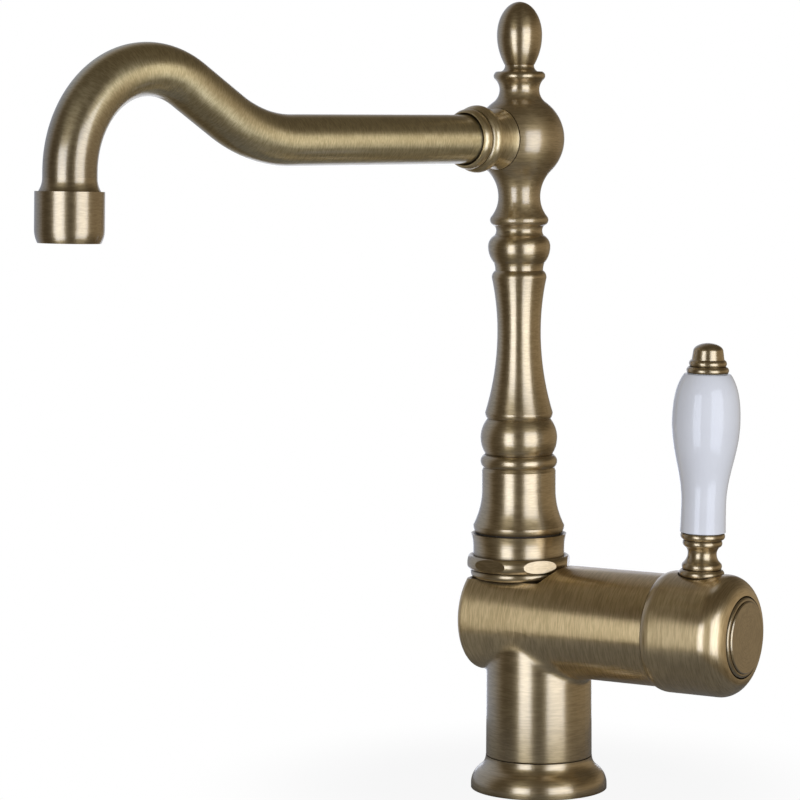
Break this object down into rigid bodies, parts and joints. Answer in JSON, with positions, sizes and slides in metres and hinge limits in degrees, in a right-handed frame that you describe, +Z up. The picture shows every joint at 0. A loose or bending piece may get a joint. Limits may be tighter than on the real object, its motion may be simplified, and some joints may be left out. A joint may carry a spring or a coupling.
{
  "type": "kitchen mixer tap",
  "caption": "Single-lever kitchen mixer tap with a turned column, a swivelling swan-neck spout and a porcelain lever grip on a side barrel.",
  "frame": {"origin": "centre of the base's underside, on the pedestal axis", "axes": "+Z up, +X along the barrel towards the lever, the user on the -Y side"},
  "size_m": [0.1695, 0.2824, 0.331],
  "materials": {
    "bronze": "brushed antique bronze",
    "brass": "machined",
    "steel": "machined",
    "rubber": "matte",
    "plastic": "matte",
    "ceramic": "polished ceramic",
    "porcelain": "glazed white"
  },
  "bodies": {
    "body": {"base_flange": "bronze", "base_gasket": "rubber", "mixer_body": "bronze", "swivel_socket": "bronze", "socket_seal": "rubber", "swivel_collar": "bronze", "slip_ring": "plastic", "retaining_screw": "steel", "cartridge_base": "plastic", "base_seals": "rubber", "fixed_disc": "ceramic", "cartridge_housing": "plastic", "cartridge_nut": "brass"},
    "spout": {"swivel_spigot": "brass", "swivel_orings": "rubber", "column": "bronze", "column_oring": "rubber", "ball_head": "bronze", "finial": "bronze", "union_socket": "bronze", "union_oring": "rubber", "union_nut": "bronze", "spout_tube": "bronze", "spout_outlet": "bronze", "aerator_housing": "bronze", "aerator_washer": "rubber", "aerator_insert": "plastic", "aerator_screen": "plastic"},
    "carrier": {"spindle_carrier": "plastic", "pivot_pin": "steel"},
    "lever": {"lever_spindle": "brass", "handle_cap": "bronze", "handle_screw": "steel", "index_bezel": "bronze", "index_disc": "bronze", "lever_post": "bronze", "lever_rod": "steel", "grip_washers": "rubber", "porcelain_grip": "porcelain", "grip_end_cap": "bronze"},
    "disc": {"disc_coupler": "plastic", "moving_disc": "ceramic"}
  },
  "joints": [
    {"name": "spout_swivel", "type": "hinge", "parent": "body", "child": "spout", "pos_m": [-0.01, 0, 0.1], "axis": [0, 0, 1], "continuous": true},
    {"name": "lever_turn", "type": "hinge", "parent": "body", "child": "carrier", "pos_m": [0, 0, 0.072], "axis": [1, 0, 0], "range_deg": [-45, 45]},
    {"name": "lever_tilt", "type": "hinge", "parent": "carrier", "child": "lever", "pos_m": [0.0464, 0, 0.072], "axis": [0, 1, 0], "range_deg": [0, 20]},
    {"name": "disc_slide", "type": "slide", "parent": "carrier", "child": "disc", "axis": [0, 0, 1], "range_m": [0, 0.0029]}
  ],
  "couplings": [
    {"joint": "disc_slide", "follows": "lever_tilt", "m_per_rad": 0.008}
  ]
}
